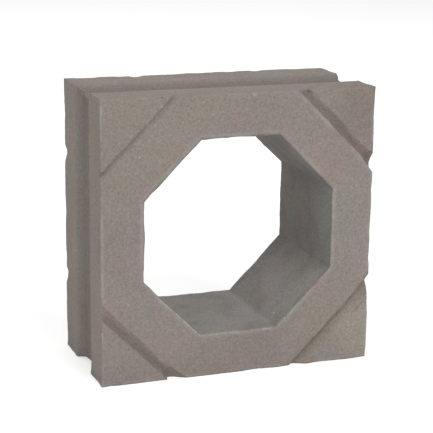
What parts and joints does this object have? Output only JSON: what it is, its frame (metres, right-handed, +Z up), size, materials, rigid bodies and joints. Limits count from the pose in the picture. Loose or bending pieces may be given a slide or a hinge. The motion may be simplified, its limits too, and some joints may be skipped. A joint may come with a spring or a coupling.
{
  "type": "breeze block",
  "caption": "Square concrete screen block with an octagonal opening straight through, 45 degree corner grooves on both faces and a shallow mortar channel round its edge.",
  "frame": {"origin": "under the middle of the block, on the level that its bottom edge rests on", "axes": "+X along the width, +Y through the opening from the front face to the back face, +Z up"},
  "size_m": [0.19, 0.09, 0.19],
  "materials": {
    "concrete": "matte fine-grained cast concrete"
  },
  "bodies": {
    "root": {"breeze_block": "concrete"}
  },
  "joints": []
}
